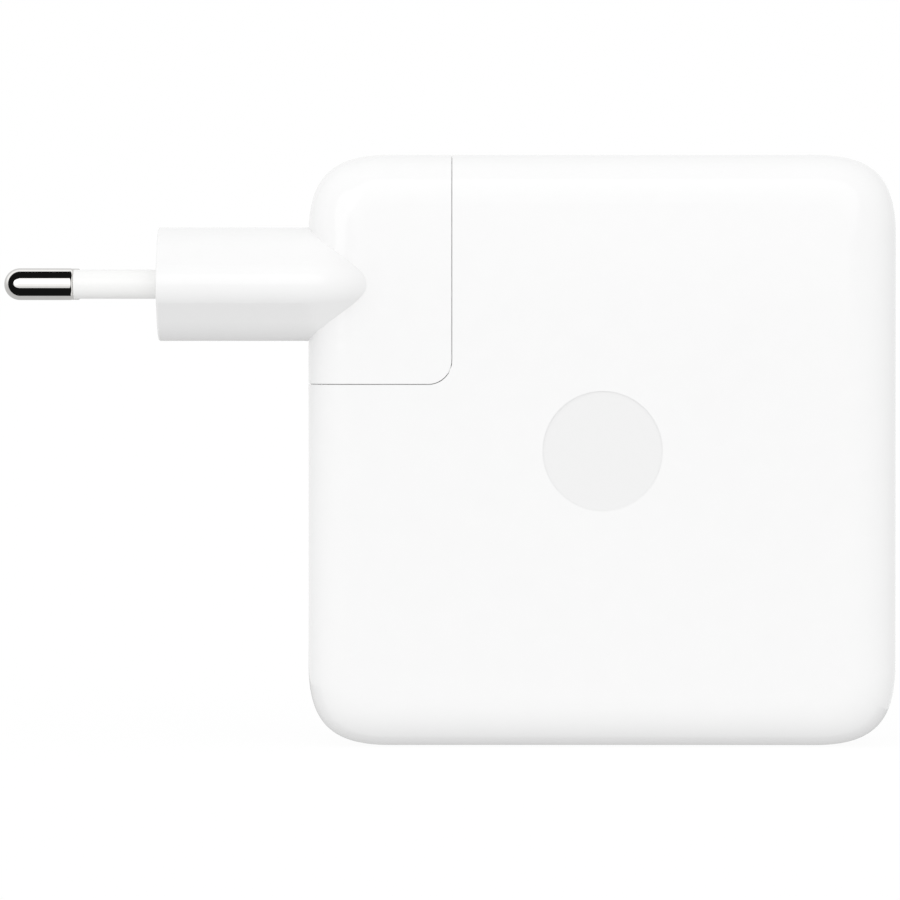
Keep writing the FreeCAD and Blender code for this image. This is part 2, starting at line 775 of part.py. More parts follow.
def bobbin_depths():
    """Front and back of the bobbin in the core's window."""
    return core_front + core_plate + bobbin_play, board_front - core_plate - bobbin_play


def transformer_bobbin(centre):
    front, back = bobbin_depths()
    bore = core_leg_radius + bobbin_play
    tube = leg_ring(centre, bore, bore + bobbin_wall, front, back)
    flanges = [leg_ring(centre, bore, bobbin_flange_radius, front, front + bobbin_wall),
               leg_ring(centre, bore, bobbin_flange_radius, back - bobbin_wall, back)]
    return one_solid(tube.fuse(flanges))


def transformer_windings(centre):
    front, back = bobbin_depths()
    inner = core_leg_radius + bobbin_play + bobbin_wall + fit_play
    return one_solid(leg_ring(centre, inner, bobbin_flange_radius - winding_inset,
                              front + bobbin_wall + fit_play, back - bobbin_wall - fit_play))


def front_pad(centre):
    """The soft pad between the transformer and the front film."""
    x, z = centre
    half_width, half_length = core_width / 2 - pad_border, core_length / 2 - pad_border
    return box((x - half_width, x + half_width), (film_front, core_front),
               (z - half_length, z + half_length))


def rear_place(share):
    """A point on the board, as x and z, from shares of its width and height."""
    return (board_left + share[0] * (board_right - board_left),
            board_bottom + share[1] * (board_top - board_bottom))


def behind_board(centre, width, length, start, end):
    """A flat box behind the board, between two heights above its rear face."""
    x, z = centre
    return box((x - width / 2, x + width / 2), (board_back + start, board_back + end),
               (z - length / 2, z + length / 2))


def control_chips():
    return Part.Compound([behind_board(rear_place(share), chip_width, chip_length, 0, chip_height)
                          for share in chip_places])


def chip_parts():
    """Rows of small resistors and capacitors on the rear of the board."""
    blocks = []
    for share in trim_places:
        x, z = rear_place(share)
        for row in range(trim_rows):
            for column in range(trim_columns):
                centre = (x + (column - (trim_columns - 1) / 2) * trim_column_pitch,
                          z + (row - (trim_rows - 1) / 2) * trim_row_pitch)
                blocks.append(behind_board(centre, trim_width, trim_length, 0, trim_height))
    return Part.Compound(blocks)


# USB-C socket and its board

def usb_shell():
    outer = stadium(usb_width, usb_thickness, usb_rear, usb_mouth)
    bore = stadium(usb_width - 2 * usb_sheet, usb_thickness - 2 * usb_sheet, usb_rear - 1, usb_mouth + 1)
    return one_solid(outer.cut(bore))


def usb_tongue():
    inset = usb_sheet + fit_play
    base = stadium(usb_width - 2 * inset, usb_thickness - 2 * inset, usb_rear, usb_rear + usb_back)
    half = usb_tongue_thickness / 2
    plate = box((usb_rear, usb_rear + usb_back + usb_tongue_length), (-half, half),
                (usb_height - usb_tongue_width / 2, usb_height + usb_tongue_width / 2))
    return one_solid(base.fuse(plate))


def usb_contacts():
    """Flat contacts along both faces of the tongue."""
    half = usb_tongue_thickness / 2
    start = usb_rear + usb_back
    first = usb_height - (usb_contact_count - 1) * usb_contact_pitch / 2
    strips = []
    for index in range(usb_contact_count):
        z = first + index * usb_contact_pitch
        for depths in ((-half - usb_contact_thickness, -half), (half, half + usb_contact_thickness)):
            strips.append(box((start, start + usb_contact_length), depths,
                              (z - usb_contact_width / 2, z + usb_contact_width / 2)))
    return Part.Compound(strips)


def usb_board():
    return box((usb_board_end - usb_board_reach, usb_board_end), (usb_board_front, usb_board_back),
               (usb_height - usb_board_width / 2, usb_height + usb_board_width / 2))


def usb_header():
    """The row of pins in a plastic block that joins the socket's board to the main one."""
    start = usb_board_end - usb_board_reach + usb_header_setback
    return box((start, start + usb_header_width), (usb_board_back, board_front),
               (usb_height - usb_header_length / 2, usb_height + usb_header_length / 2))


def build():
    """Every piece by name."""
    wall = case_wall()
    pieces = {
        "front_shell": front_shell(wall),
        "rear_shell": rear_shell(wall),
        "inlet_block": inlet_block(),
        "lock_stud": lock_stud(),
        "stud_nut": stud_nut(),
        "plug_housing": plug_housing(),
        "plug_cover": plug_cover(),
        "pin_carrier": pin_carrier(),
        "nose_insert": nose_insert(),
        "main_board": board_slab(board_inset, board_front, board_back),
    }
    drops = (lead_drop + lead_step, lead_drop)
    for side, y, drop in zip(("front", "rear"), inlet_pin_ys(), drops):
        pieces[f"mains_pin_{side}"] = mains_pin(side)
        pieces[f"pin_sleeve_{side}"] = pin_sleeve(side)
        pieces[f"contact_tube_{side}"] = contact_tube(y)
        pieces[f"contact_strip_{side}"] = contact_strip(side, y)
        pieces[f"inlet_pin_{side}"] = inlet_pin(y)
        pieces[f"supply_lead_{side}"] = supply_lead(y, drop)
    for side, sign in (("front", -1), ("rear", 1)):
        film = [sign * film_back, sign * (film_back + film_thickness)]
        plate = [film[1], sign * (film_back + film_thickness + spreader_thickness)]
        pieces[f"insulating_film_{side}"] = board_slab(spreader_inset, *sorted(film))
        pieces[f"heat_spreader_{side}"] = board_slab(spreader_inset, *sorted(plate))
    core_middle = (board_front + core_front) / 2
    rectifier = rear_place(rectifier_place)
    along_x, along_z = Vector(1, 0, 0), Vector(0, 0, 1)
    spot = front_places()
    pieces.update({
        "fuse": standing_can(spot["fuse"], fuse_radius, fuse_height),
        "inrush_thermistor": lying_can(spot["thermistor"], thermistor_radius, thermistor_thickness, along_x),
        "surge_varistor": lying_can(spot["varistor"], varistor_radius, varistor_thickness, along_x),
        "x_capacitor": standing_block(spot["x_capacitor"], x_capacitor_width, x_capacitor_length,
                                      x_capacitor_height),
        "choke_core": choke_core(spot["choke"]),
        "choke_windings": choke_windings(spot["choke"]),
        "bridge_rectifier": standing_block(spot["bridge"], bridge_width, bridge_length, bridge_height),
        "bulk_capacitors": Part.Compound([lying_can(spot[f"bulk_{index}"], bulk_radius, bulk_length, along_x)
                                          for index in range(2)]),
        "transformer_core_rear": core_half(spot["transformer"], board_front, core_middle),
        "transformer_core_front": core_half(spot["transformer"], core_front, core_middle),
        "transformer_bobbin": transformer_bobbin(spot["transformer"]),
        "transformer_windings": transformer_windings(spot["transformer"]),
        "heatsink": standing_block(spot["heatsink"], heatsink_width, heatsink_thickness, heatsink_height),
        "switching_transistor": standing_block(spot["transistor"], transistor_width, transistor_length,
                                               transistor_height),
        "output_inductor": standing_can(spot["inductor"], inductor_radius, inductor_height),
        "output_capacitors": Part.Compound([standing_can(spot[f"output_{index}"], output_radius,
                                                         output_height) for index in range(4)]),
        "y_capacitor": lying_can(spot["y_capacitor"], y_capacitor_radius, y_capacitor_thickness, along_z),
        "optocoupler": standing_block(spot["coupler"], coupler_width, coupler_length, coupler_height),
        "thermal_pad_front": front_pad(spot["transformer"]),
        "control_chips": control_chips(),
        "chip_parts": chip_parts(),
        "output_rectifier": behind_board(rectifier, rectifier_width, rectifier_length, 0, rectifier_height),
        "thermal_pad_rear": behind_board(rectifier, rectifier_width, rectifier_length,
                                         rectifier_height, film_back - board_back),
        "usb_shell": usb_shell(),
        "usb_tongue": usb_tongue(),
        "usb_contacts": usb_contacts(),
        "usb_board": usb_board(),
        "usb_header": usb_header(),
    })
    return pieces


os.makedirs("parts", exist_ok=True)
for name, shape in build().items():
    shape.exportStep(f"parts/{name}.step")
    print(name, len(shape.Solids), shape.isValid(), round(shape.Volume, 1))
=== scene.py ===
# %% [markdown]
# # A laptop power adapter, dressed and lit
# The adapter is a glossy white case with a plug head in one corner. The head slides off, so
# that another country's plug can take its place. Its shape and size were settled as a solid
# model, which is loaded here as a fixed frame. This lesson gives each piece its finish and
# lights the whole as a studio would.

# %% Load the frame
import math

import bpy
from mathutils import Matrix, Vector


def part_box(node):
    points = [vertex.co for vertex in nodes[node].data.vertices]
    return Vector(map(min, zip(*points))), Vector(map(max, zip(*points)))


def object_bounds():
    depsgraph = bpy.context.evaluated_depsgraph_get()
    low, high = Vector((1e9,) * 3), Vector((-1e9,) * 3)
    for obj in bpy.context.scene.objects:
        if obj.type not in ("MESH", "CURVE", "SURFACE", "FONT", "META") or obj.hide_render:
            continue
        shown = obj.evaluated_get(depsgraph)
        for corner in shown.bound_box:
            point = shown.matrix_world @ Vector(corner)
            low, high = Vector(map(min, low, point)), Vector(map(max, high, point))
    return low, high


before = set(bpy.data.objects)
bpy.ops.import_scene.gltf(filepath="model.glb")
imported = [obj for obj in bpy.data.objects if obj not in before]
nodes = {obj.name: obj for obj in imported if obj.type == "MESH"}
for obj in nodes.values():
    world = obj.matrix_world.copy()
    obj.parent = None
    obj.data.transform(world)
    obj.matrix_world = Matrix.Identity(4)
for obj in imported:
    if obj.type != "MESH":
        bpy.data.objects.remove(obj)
cad_low, cad_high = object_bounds()
MM = 0.001
print("pieces in the frame:", len(nodes))
print("overall size in mm:", [round(side / MM, 1) for side in cad_high - cad_low])

# %% [markdown]
# ## The camera
# A long lens from about a metre away keeps the case almost square, as in a product
# catalogue. The camera stands at the height of the plug's pins, so that both sides of the plug
# show alike, and it tips down a little to the middle of the case. It also stands a few
# millimetres to the right, so that it never looks straight through the upright seam. Its aim
# comes from the frame's own boxes, so it follows the object if a size changes.

# %% Set up the camera
CAMERA_DISTANCE = 1.0
LENS = 314.8
AIM_LEFT = 0.05 * MM
AIM_DROP = 0.17 * MM
EYE_RIGHT = 5 * MM
CLIP_NEAR = 0.05
CLIP_FAR = 50.0

case_low, case_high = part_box("front_shell")
pin_low, pin_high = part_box("mains_pin_front")
pin_height = (pin_low.z + pin_high.z) / 2
aim = Vector(((cad_low.x + cad_high.x) / 2 - AIM_LEFT, 0.0, case_high.z / 2 - AIM_DROP))
eye = Vector((aim.x + EYE_RIGHT, -CAMERA_DISTANCE, pin_height))

camera = bpy.data.objects.new("camera", bpy.data.cameras.new("camera"))
bpy.context.scene.collection.objects.link(camera)
camera.location = eye
camera.rotation_euler = (aim - eye).to_track_quat("-Z", "Y").to_euler()
camera.data.lens = LENS
camera.data.clip_start = CLIP_NEAR
camera.data.clip_end = CLIP_FAR
bpy.context.scene.camera = camera
print("camera at", [round(c, 4) for c in eye], "looks at", [round(c, 4) for c in aim])

# %% [markdown]
# ## Colours and nodes
# A colour is written as the hex code that a screen shows. Blender's sockets hold linear
# light, so one function turns the first into the second. A second function adds a node with
# its settings, and gives each named input either a value or a link. Everything below is
# made with these two.

# %% Helpers for colours and nodes
def linear(hex_colour):
    """The linear colour, with alpha, of an sRGB hex code."""
    shares = [int(hex_colour[i:i + 2], 16) / 255 for i in (1, 3, 5)]
    return [*(s / 12.92 if s <= 0.04045 else ((s + 0.055) / 1.055) ** 2.4 for s in shares), 1.0]


def add(tree, kind, inputs, **settings):
    """Adds a node of this kind: its settings first, then a value or a link for each input."""
    made = tree.nodes.new(kind)
    for name, value in settings.items():
        setattr(made, name, value)
    for name, value in inputs.items():
        if isinstance(value, bpy.types.NodeSocket):
            tree.links.new(value, made.inputs[name])
        else:
            made.inputs[name].default_value = value
    return made


print("mid grey #808080 is", round(linear("#808080")[0], 3), "in linear light")

# %% [markdown]
# ## The room
# White plastic shows its shape only by how much light each side gets. So the room is a soft
# gradient: most light comes from the front and from above, and least from below and behind.
# The camera itself, and rays that a surface mirrors or lets through, meet plain white in
# its place. Light Path tells the kinds of ray apart.

# %% Light the room
ROOM_LEVEL = 0.755
ROOM_SLOPE = 0.33
BRIGHT_SIDE = Vector((0.0, -0.84, 0.515))
WHITE = linear("#FFFFFF")


def seen_directly(tree):
    """1 for a ray from the camera, from a mirror or through glass, and 0 for all others."""
    ray = add(tree, "ShaderNodeLightPath", {})
    seen = ray.outputs["Is Camera Ray"]
    for kind in ("Is Glossy Ray", "Is Transmission Ray"):
        seen = add(tree, "ShaderNodeMath", {0: seen, 1: ray.outputs[kind]}, operation="MAXIMUM").outputs[0]
    return seen


world = bpy.data.worlds.new("studio")
bpy.context.scene.world = world
world.use_nodes = True
room = world.node_tree
room.nodes.clear()
direction = add(room, "ShaderNodeTexCoord", {}).outputs["Generated"]
facing = add(room, "ShaderNodeVectorMath", {0: direction, 1: BRIGHT_SIDE}, operation="DOT_PRODUCT")
level = add(room, "ShaderNodeMath", {0: facing.outputs["Value"], 1: ROOM_SLOPE, 2: ROOM_LEVEL},
            operation="MULTIPLY_ADD")
strength = add(room, "ShaderNodeMix", {"Factor": seen_directly(room), "A": level.outputs[0], "B": 1.0})
backdrop = add(room, "ShaderNodeBackground", {"Color": WHITE, "Strength": strength.outputs[0]})
add(room, "ShaderNodeOutputWorld", {"Surface": backdrop.outputs[0]})
print("the room gives", round(ROOM_LEVEL - ROOM_SLOPE, 2), "to", round(ROOM_LEVEL + ROOM_SLOPE, 2))

# %% [markdown]
# ## The flags round the pins
# A polished pin mirrors the whole room, and in an all-white room it would vanish. So a
# studio frames the white in front of such a part with black velvet flags, which draw a dark
# line down each side of it, and hangs grey cloth behind, which sets its rim off from the
# backdrop. A white strip along the top of the cloth draws a thin glint beside the black, and
# a grey hem ends the white in front in a soft line. Flags could stand here as planes, but
# these are painted on the room, where they cast no shadow and hide nothing. This first step
# finds which directions each of them covers: its mask is 1 there, and 0 elsewhere.

# %% Find where each flag hangs
OPENING_TILT = math.radians(6.8)    # how far the middle of the white in front is above level
OPENING_HALF = math.radians(34.7)   # from that middle to its upper and its lower edge
OPENING_SQUEEZE = (0.66, 1, 1)      # under 1 along X makes the white wider than it is high
CLOTH_FACING = (-0.108, 1, -0.094)  # the way from the adapter to the middle of the cloth
CLOTH_FROM, GLINT_TO = 0.2, 0.6     # where the cloth begins and the glint ends, on that way
GLINT_FADE = (-0.05, 0.4)           # the heights between which the glint grows to full white
HEM_HEIGHT = -0.26                  # the white in front is grey below this height

height = add(room, "ShaderNodeSeparateXYZ", {0: direction}).outputs["Z"]
depth = add(room, "ShaderNodeVectorMath", {0: direction, 1: CLOTH_FACING}, operation="DOT_PRODUCT")
behind = add(room, "ShaderNodeMath", {0: depth.outputs["Value"], 1: CLOTH_FROM}, operation="GREATER_THAN")
beside = add(room, "ShaderNodeMath", {0: depth.outputs["Value"], 1: GLINT_TO}, operation="LESS_THAN")
above = add(room, "ShaderNodeMapRange",
            {"Value": height, "From Min": GLINT_FADE[0], "From Max": GLINT_FADE[1]})
strip = add(room, "ShaderNodeMath", {0: behind.outputs[0], 1: beside.outputs[0]}, operation="MULTIPLY")
glint = add(room, "ShaderNodeMath", {0: strip.outputs[0], 1: above.outputs[0]}, operation="MULTIPLY")
squeezed = add(room, "ShaderNodeVectorMath", {0: direction, 1: OPENING_SQUEEZE}, operation="MULTIPLY")
toward = add(room, "ShaderNodeVectorMath", {0: squeezed.outputs[0]}, operation="NORMALIZE")
middle = (0, -math.cos(OPENING_TILT), math.sin(OPENING_TILT))
nearness = add(room, "ShaderNodeVectorMath", {0: toward.outputs[0], 1: middle}, operation="DOT_PRODUCT")
opening = add(room, "ShaderNodeMath", {0: nearness.outputs["Value"], 1: math.cos(OPENING_HALF)},
              operation="GREATER_THAN")
low = add(room, "ShaderNodeMath", {0: height, 1: HEM_HEIGHT}, operation="LESS_THAN")
hem = add(room, "ShaderNodeMath", {0: opening.outputs[0], 1: low.outputs[0]}, operation="MULTIPLY")
print("the white in front is", round(2 * math.degrees(OPENING_HALF)), "degrees high")

# %% [markdown]
# ## Paint the flags
# The paints go on one over the other, from the velvet up, and each mask says where the next
# one covers the last. Only a perfectly sharp mirrored ray meets them, which Light Path calls
# singular. The pins are polished that finely, and no other surface here is, so the flags
# take nothing from the white case.

# %% Paint the flags
VELVET = "#161616"
GREY_ABOVE = "#DADADA"
GREY_BELOW = "#C4C4C4"
HEM_GREY = "#E2E2E2"
GREY_FADE = 0.3

half = add(room, "ShaderNodeMapRange", {"Value": height, "From Min": -GREY_FADE, "From Max": GREY_FADE})
cloth = add(room, "ShaderNodeMix", {"Factor": half.outputs[0], "A": linear(GREY_BELOW),
                                    "B": linear(GREY_ABOVE)}, data_type="RGBA").outputs["Result"]
paint = linear(VELVET)
for mask, coat in ((behind, cloth), (glint, WHITE), (opening, WHITE), (hem, linear(HEM_GREY))):
    paint = add(room, "ShaderNodeMix", {"Factor": mask.outputs[0], "A": paint, "B": coat},
                data_type="RGBA").outputs["Result"]
sharp = add(room, "ShaderNodeLightPath", {}).outputs["Is Singular Ray"]
seen_paint = add(room, "ShaderNodeMix", {"Factor": sharp, "A": WHITE, "B": paint}, data_type="RGBA")
room.links.new(seen_paint.outputs["Result"], backdrop.inputs["Color"])
print("the room's tree has", len(room.nodes), "nodes")

# %% [markdown]
# ## The lamps
# Wide lamps stand for softboxes. The one above the camera draws the bright line just inside
# the case's top edge. The one far to the left lifts the left side and isn't mirrored. The
# third is only mirrored, and carries the bright line round the top left corner. A Sun with
# a wide angle is a softbox that is far away, so it lights every part alike.

# %% Add the softboxes
def softbox(name, azimuth, elevation, width, level, lights=True, mirrored=True):
    """A far soft lamp. Azimuth 0 is the camera's side, and turns positive to the right."""
    lamp = bpy.data.objects.new(name, bpy.data.lights.new(name, "SUN"))
    bpy.context.scene.collection.objects.link(lamp)
    lamp.data.energy = level
    lamp.data.angle = math.radians(width)
    turn, tilt = math.radians(azimuth), math.radians(elevation)
    source = Vector((math.sin(turn) * math.cos(tilt), -math.cos(turn) * math.cos(tilt), math.sin(tilt)))
    lamp.rotation_euler = source.to_track_quat("Z", "Y").to_euler()
    lamp.visible_diffuse, lamp.visible_glossy = lights, mirrored


softbox("softbox_above", azimuth=2.5, elevation=23.05, width=46, level=0.24)
softbox("softbox_left", azimuth=-92, elevation=8, width=60, level=0.23, mirrored=False)
softbox("corner_glint", azimuth=-27, elevation=14, width=34, level=0.17, lights=False)

# %% [markdown]
# ## A grey sheet behind the adapter, seen only in reflections
# The lower edges of glossy plastic mirror the table behind it at a glancing angle, where
# even plastic mirrors strongly. A grey sheet there, which the camera never sees, paints a
# darker reflection on those edges: a painted shade that makes them end dark and crisp
# against the white. It starts under the case, so that the round edge of the underside
# mirrors it too, and it is hardly wider than the adapter, because a wider sheet would also
# darken the case's sides. Only mirrored rays meet it, so it takes no light from the case.

# %% Lay a grey sheet behind the adapter, seen only in reflections
SHEET_START = -12 * MM
SHEET_REACH = 450 * MM
SHEET_MARGIN = 8 * MM

sheet_width = cad_high.x - cad_low.x + SHEET_MARGIN
bpy.ops.object.select_all(action="DESELECT")
bpy.ops.mesh.primitive_plane_add(size=1, location=(cad_low.x + sheet_width / 2,
                                                   (SHEET_START + SHEET_REACH) / 2, 0))
painted_shade_sheet = bpy.context.object
painted_shade_sheet.name = "painted_shade_sheet_behind"
painted_shade_sheet.scale = (sheet_width, SHEET_REACH - SHEET_START, 1)
bpy.ops.object.transform_apply(location=True, rotation=True, scale=True)
# Hidden from camera, diffuse and shadow rays: only reflections see this sheet, so its grey shows only as a
# painted shade in the lower edges.
painted_shade_sheet.visible_camera = painted_shade_sheet.visible_diffuse = painted_shade_sheet.visible_transmission = False
painted_shade_sheet.visible_shadow = painted_shade_sheet.visible_volume_scatter = False
print("grey paper:", round(sheet_width / MM), "mm wide, reaching", round(SHEET_REACH / MM), "mm back")

# %% [markdown]
# ## Colour the sheet
# The grey is a glow, so that no lamp changes its tone: it is a painted shade that only
# reflections show. It fades to white with distance, and the case's flat sides then don't
# mirror the sheet's border. The flags round the pins are painted on the room behind the
# sheets, so perfectly sharp mirrored rays have to pass through them. One function ends a
# sheet's nodes that way, for this sheet and for the floor.

# %% Colour the sheet with its painted shade
SHEET_FADE_FROM = 150 * MM
# the grey glow that the lower edges mirror as painted shade
PAINTED_SHADE_GREY = "#CDCDCD"


def finish_sheet(tree, shader):
    """Ends a sheet's tree. A perfectly sharp mirrored ray passes through, to meet the flags."""
    ray = add(tree, "ShaderNodeLightPath", {}).outputs["Is Singular Ray"]
    clear = add(tree, "ShaderNodeBsdfTransparent", {}).outputs[0]
    ending = add(tree, "ShaderNodeMixShader", {0: ray, 1: shader, 2: clear})
    add(tree, "ShaderNodeOutputMaterial", {"Surface": ending.outputs[0]})


painted_shade_sheet_material = bpy.data.materials.new("Grey paper, fading to white")
painted_shade_sheet_material.use_nodes = True
tree = painted_shade_sheet_material.node_tree
tree.nodes.clear()
place = add(tree, "ShaderNodeTexCoord", {}).outputs["Object"]
away = add(tree, "ShaderNodeVectorMath", {0: place}, operation="LENGTH")
fade = add(tree, "ShaderNodeMapRange", {"Value": away.outputs["Value"], "From Min": SHEET_FADE_FROM,
                                        "From Max": SHEET_REACH}, interpolation_type="SMOOTHSTEP")
tone = add(tree, "ShaderNodeMix", {"Factor": fade.outputs[0], "A": linear(PAINTED_SHADE_GREY), "B": WHITE},
           data_type="RGBA")
finish_sheet(tree, add(tree, "ShaderNodeEmission", {"Color": tone.outputs["Result"]}).outputs[0])
painted_shade_sheet.data.materials.append(painted_shade_sheet_material)
print("the grey fades from", round(SHEET_FADE_FROM / MM), "to", round(SHEET_REACH / MM), "mm away")

# %% [markdown]
# ## The floor
# The adapter stands on a sheet of white card, so large that no view shows its border. It
# lies a hair under the adapter, so that the two never share a plane. It lets diffuse light
# through and casts no shadow, so that the room alone lights the adapter's underside.

# %% Lay the floor
FLOOR_SIZE = 40.0
FLOOR_DROP = 0.1 * MM

bpy.ops.object.select_all(action="DESELECT")
bpy.ops.mesh.primitive_plane_add(size=FLOOR_SIZE, location=(0, 0, -FLOOR_DROP))
floor = bpy.context.object
floor.name = "white_card_floor"
floor.visible_diffuse = floor.visible_shadow = False
print("floor:", FLOOR_SIZE, "m square")

# %% [markdown]
# ## White card for the floor
# The camera sees most of the card's white as a glow of its own, and a small share as light
# from the room. So the floor stays white while the adapter still casts its faint shadow.
# Real card fibres are too fine to show, so they are drawn as soft lumps a few millimetres
# wide.

# %% Make the white card
SHADOW_SHARE = 0.12
LIT_SHARE = 0.75
CARD = "#EDEDED"
FIBRE = 2.5 * MM
FIBRE_RELIEF = 0.1 * MM

card = bpy.data.materials.new("Matt white card, pressed")
card.use_nodes = True
sheet = card.node_tree
sheet.nodes.clear()
fibre = add(sheet, "ShaderNodeTexNoise",
            {"Vector": add(sheet, "ShaderNodeTexCoord", {}).outputs["Object"], "Scale": 1 / FIBRE})
relief = add(sheet, "ShaderNodeBump", {"Height": fibre.outputs[0], "Strength": 0.1,
                                       "Distance": FIBRE_RELIEF})
lit = add(sheet, "ShaderNodeBsdfDiffuse", {"Color": linear(CARD), "Normal": relief.outputs[0]})
glow_level = (1 - SHADOW_SHARE * LIT_SHARE) / (1 - SHADOW_SHARE)
glow = add(sheet, "ShaderNodeEmission", {"Color": WHITE, "Strength": glow_level})
share = add(sheet, "ShaderNodeMath", {0: seen_directly(sheet), 1: 1.0 - SHADOW_SHARE}, operation="MULTIPLY")
blend = add(sheet, "ShaderNodeMixShader", {0: share.outputs[0], 1: lit.outputs[0], 2: glow.outputs[0]})
finish_sheet(sheet, blend.outputs[0])
floor.data.materials.append(card)
print("the card glows at", round(glow_level, 3))

# %% [markdown]
# ## Where a finish begins
# Each finish starts from one Principled shader. Its pattern is placed by the Object
# coordinates, which are the real places on the adapter in metres, so a grain of half a
# millimetre stays half a millimetre. Numbers that are the same all over, such as the index
# of refraction, go straight on the shader's own sockets.

# %% Start a finish
def start(name, **sockets):
    """A new material, with its node tree, its shader and the Object coordinates."""
    material = bpy.data.materials.new(name)
    material.use_nodes = True
    tree = material.node_tree
    shader = tree.nodes["Principled BSDF"]
    for socket, value in sockets.items():
        shader.inputs[socket].default_value = value
    return material, tree, shader, add(tree, "ShaderNodeTexCoord", {}).outputs["Object"]


def hang(tree, shader, pattern, colours, gloss, relief):
    """Lets a pattern from 0 to 1 drive the shader's colour, roughness and relief. Returns the colour."""
    tone = add(tree, "ShaderNodeMix",
               {"Factor": pattern, "A": linear(colours[0]), "B": linear(colours[1])}, data_type="RGBA")
    rough = add(tree, "ShaderNodeMapRange", {"Value": pattern, "To Min": gloss[0], "To Max": gloss[1]})
    skin = add(tree, "ShaderNodeBump", {"Height": pattern, "Strength": 1.0, "Distance": relief})
    tree.links.new(tone.outputs["Result"], shader.inputs["Base Color"])
    tree.links.new(rough.outputs[0], shader.inputs["Roughness"])
    tree.links.new(skin.outputs[0], shader.inputs["Normal"])
    return tone.outputs["Result"]


finishes = {}

# %% [markdown]
# ## Moulded plastics
# Injection-moulded plastic copies the skin of its steel tool. A polished tool leaves a
# glossy skin with a faint ripple where the melt shrank, and a tool roughened by sparks
# leaves a satin one. Polycarbonate bends light a good deal, with an index of about 1.58, so
# its gloss is clear even where it is white. One function makes them all, and it serves some
# other fine-grained surfaces further on.

# %% Moulded plastics
def moulded(name, colours, gloss, ior, grain, relief):
    """A fine-grained surface: tone, gloss and relief all waver over patches as wide as the grain."""
    material, tree, shader, place = start(name, IOR=ior)
    ripple = add(tree, "ShaderNodeTexNoise", {"Vector": place, "Scale": 1 / grain, "Detail": 2.0})
    hang(tree, shader, ripple.outputs["Fac"], colours, gloss, relief)
    return material


finishes["case_white"] = moulded("Polycarbonate, moulded in a polished tool",
                                 ("#F6F6F6", "#F8F8F8"), (0.05, 0.08), 1.58, 3 * MM, 0.0002 * MM)
finishes["insert_white"] = moulded("Polycarbonate, moulded in a spark-textured tool",
                                   ("#E7E7E6", "#EDEDEC"), (0.32, 0.42), 1.58, 0.3 * MM, 0.004 * MM)
finishes["sleeve_white"] = moulded("Nylon sleeve, moulded satin",
                                   ("#F7F7F6", "#F9F9F8"), (0.28, 0.36), 1.53, 0.4 * MM, 0.002 * MM)
finishes["package_black"] = moulded("Epoxy package, moulded matt",
                                    ("#141416", "#222225"), (0.5, 0.65), 1.55, 0.12 * MM, 0.006 * MM)
finishes["bobbin_black"] = moulded("Phenolic resin, moulded",
                                   ("#161514", "#2A2623"), (0.38, 0.55), 1.6, 0.5 * MM, 0.004 * MM)
finishes["film_capacitor"] = moulded("Polypropylene box, moulded",
                                     ("#C9A11E", "#D6B135"), (0.28, 0.4), 1.49, 0.6 * MM, 0.004 * MM)
finishes["lead_sheath"] = moulded("Silicone rubber sheath, extruded",
                                  ("#1A1A1C", "#262629"), (0.5, 0.62), 1.41, 0.8 * MM, 0.006 * MM)
plastics = sorted(finishes)
print("plastics:", plastics)

# %% [markdown]
# ## The round panel on the front
# A shallow round recess sits in the middle of the front. On the real product it is a little
# greyer and more satin than the case. The solid already has the recess, so its finish only
# needs to know which points lie inside: a mask is 1 within the panel's radius of its centre,
# measured square to the front. The radius is a hair more than the recess's 7.5 mm, so that
# the recess's low wall is inside too.

# %% Finish the front shell with its panel
PANEL_RADIUS = 7.55 * MM
PANEL_GREY = "#EFEFEF"
PANEL_GLOSS = 0.30

front_white = finishes["case_white"].copy()
front_white.name = "Polycarbonate, polished, with a satin panel"
tree = front_white.node_tree
shader = tree.nodes["Principled BSDF"]
centre = Vector(((case_low.x + case_high.x) / 2, 0.0, (case_low.z + case_high.z) / 2))
place = add(tree, "ShaderNodeTexCoord", {}).outputs["Object"]
flattened = add(tree, "ShaderNodeVectorMath", {0: place, 1: (1, 0, 1)}, operation="MULTIPLY")
reach = add(tree, "ShaderNodeVectorMath", {0: flattened.outputs[0], 1: centre}, operation="DISTANCE")
inside = add(tree, "ShaderNodeMath", {0: reach.outputs["Value"], 1: PANEL_RADIUS}, operation="LESS_THAN")
for socket, within, kind in (("Base Color", linear(PANEL_GREY), "RGBA"), ("Roughness", PANEL_GLOSS, "FLOAT")):
    around = shader.inputs[socket].links[0].from_socket
    choice = add(tree, "ShaderNodeMix", {"Factor": inside.outputs[0], "A": around, "B": within},
                 data_type=kind)
    tree.links.new(choice.outputs["Result"], shader.inputs[socket])
print("panel centre in mm:", [round(c / MM, 2) for c in centre])

# %% [markdown]
# ## Worked metals
# Turning, rolling and drawing leave fine lines in one direction. One pattern serves them
# all: noise that is stretched along the lines and tight across them. The pins are nickel
# over brass, polished until only a trace of the turning rings is left.

# %% Worked metals
ALONG_DRAWN = 0.03   # how densely the pattern changes along drawn or rolled lines
ROUND_TURNED = 0.02  # and round a turned part


def lined(name, colours, gloss, scales, relief, detail):
    """Metal with fine lines. scales say how densely the pattern changes along X, Y and Z."""
    material, tree, shader, place = start(name, Metallic=1.0)
    stretched = add(tree, "ShaderNodeMapping", {"Vector": place, "Scale": scales})
    lines = add(tree, "ShaderNodeTexNoise", {"Vector": stretched.outputs[0], "Scale": 1.0, "Detail": detail})
    hang(tree, shader, lines.outputs["Fac"], colours, gloss, relief)
    return material


